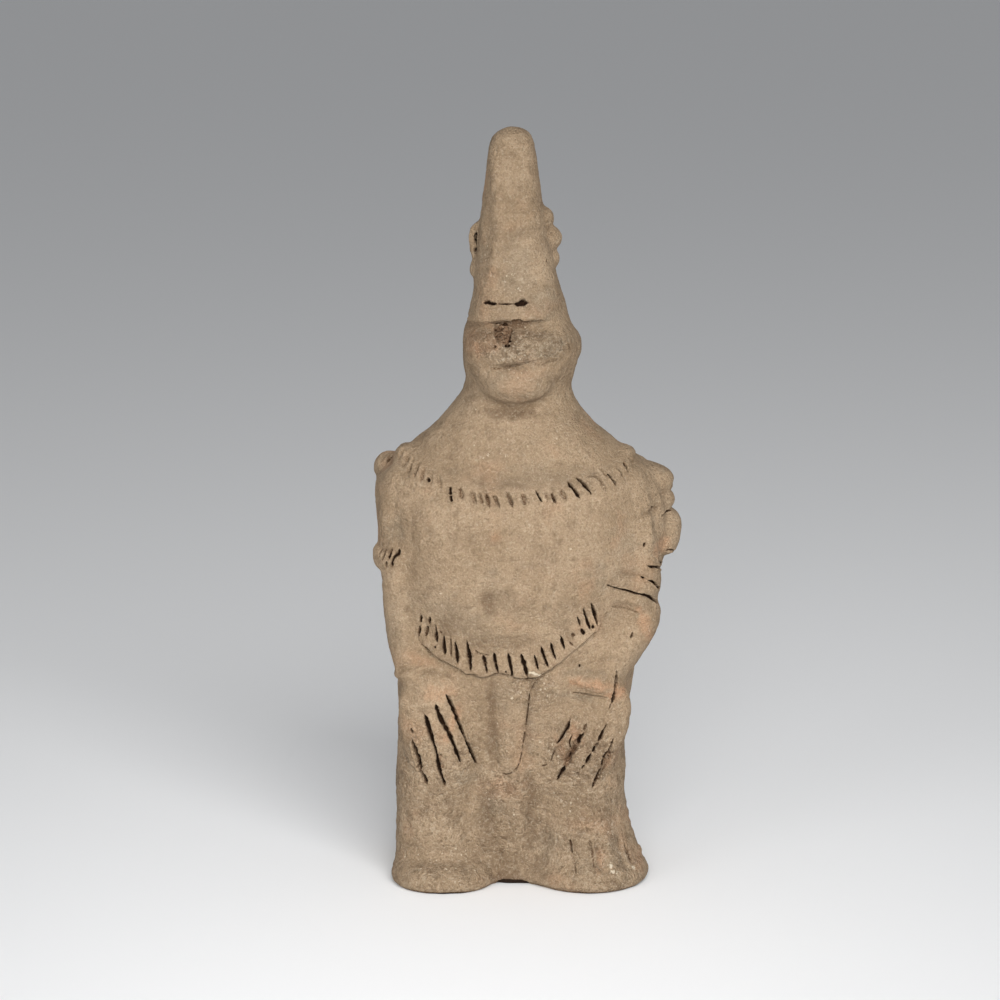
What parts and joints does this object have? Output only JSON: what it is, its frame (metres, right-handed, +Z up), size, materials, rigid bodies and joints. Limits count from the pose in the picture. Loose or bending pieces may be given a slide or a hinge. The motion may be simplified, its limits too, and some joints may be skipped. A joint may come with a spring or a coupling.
{
  "type": "janiform funerary figure",
  "caption": "Janiform fired-clay funerary figure in one solid piece: a tall tapering head faced on both sides, hands on the thighs, notched belt and collar, and a flat underside.",
  "frame": {"origin": "middle of the flat underside, on the surface the figure stands on", "axes": "+Z up along the figure's height; the front figure faces -Y and the back figure +Y; +X is to the right for a viewer facing the front"},
  "size_m": [0.1437, 0.0946, 0.35],
  "materials": {
    "fired_clay": "unglazed sandy low-fired clay, buff brown with grey-green and orange patches, matt"
  },
  "bodies": {
    "root": {"janiform_figure": "fired_clay"}
  },
  "joints": []
}
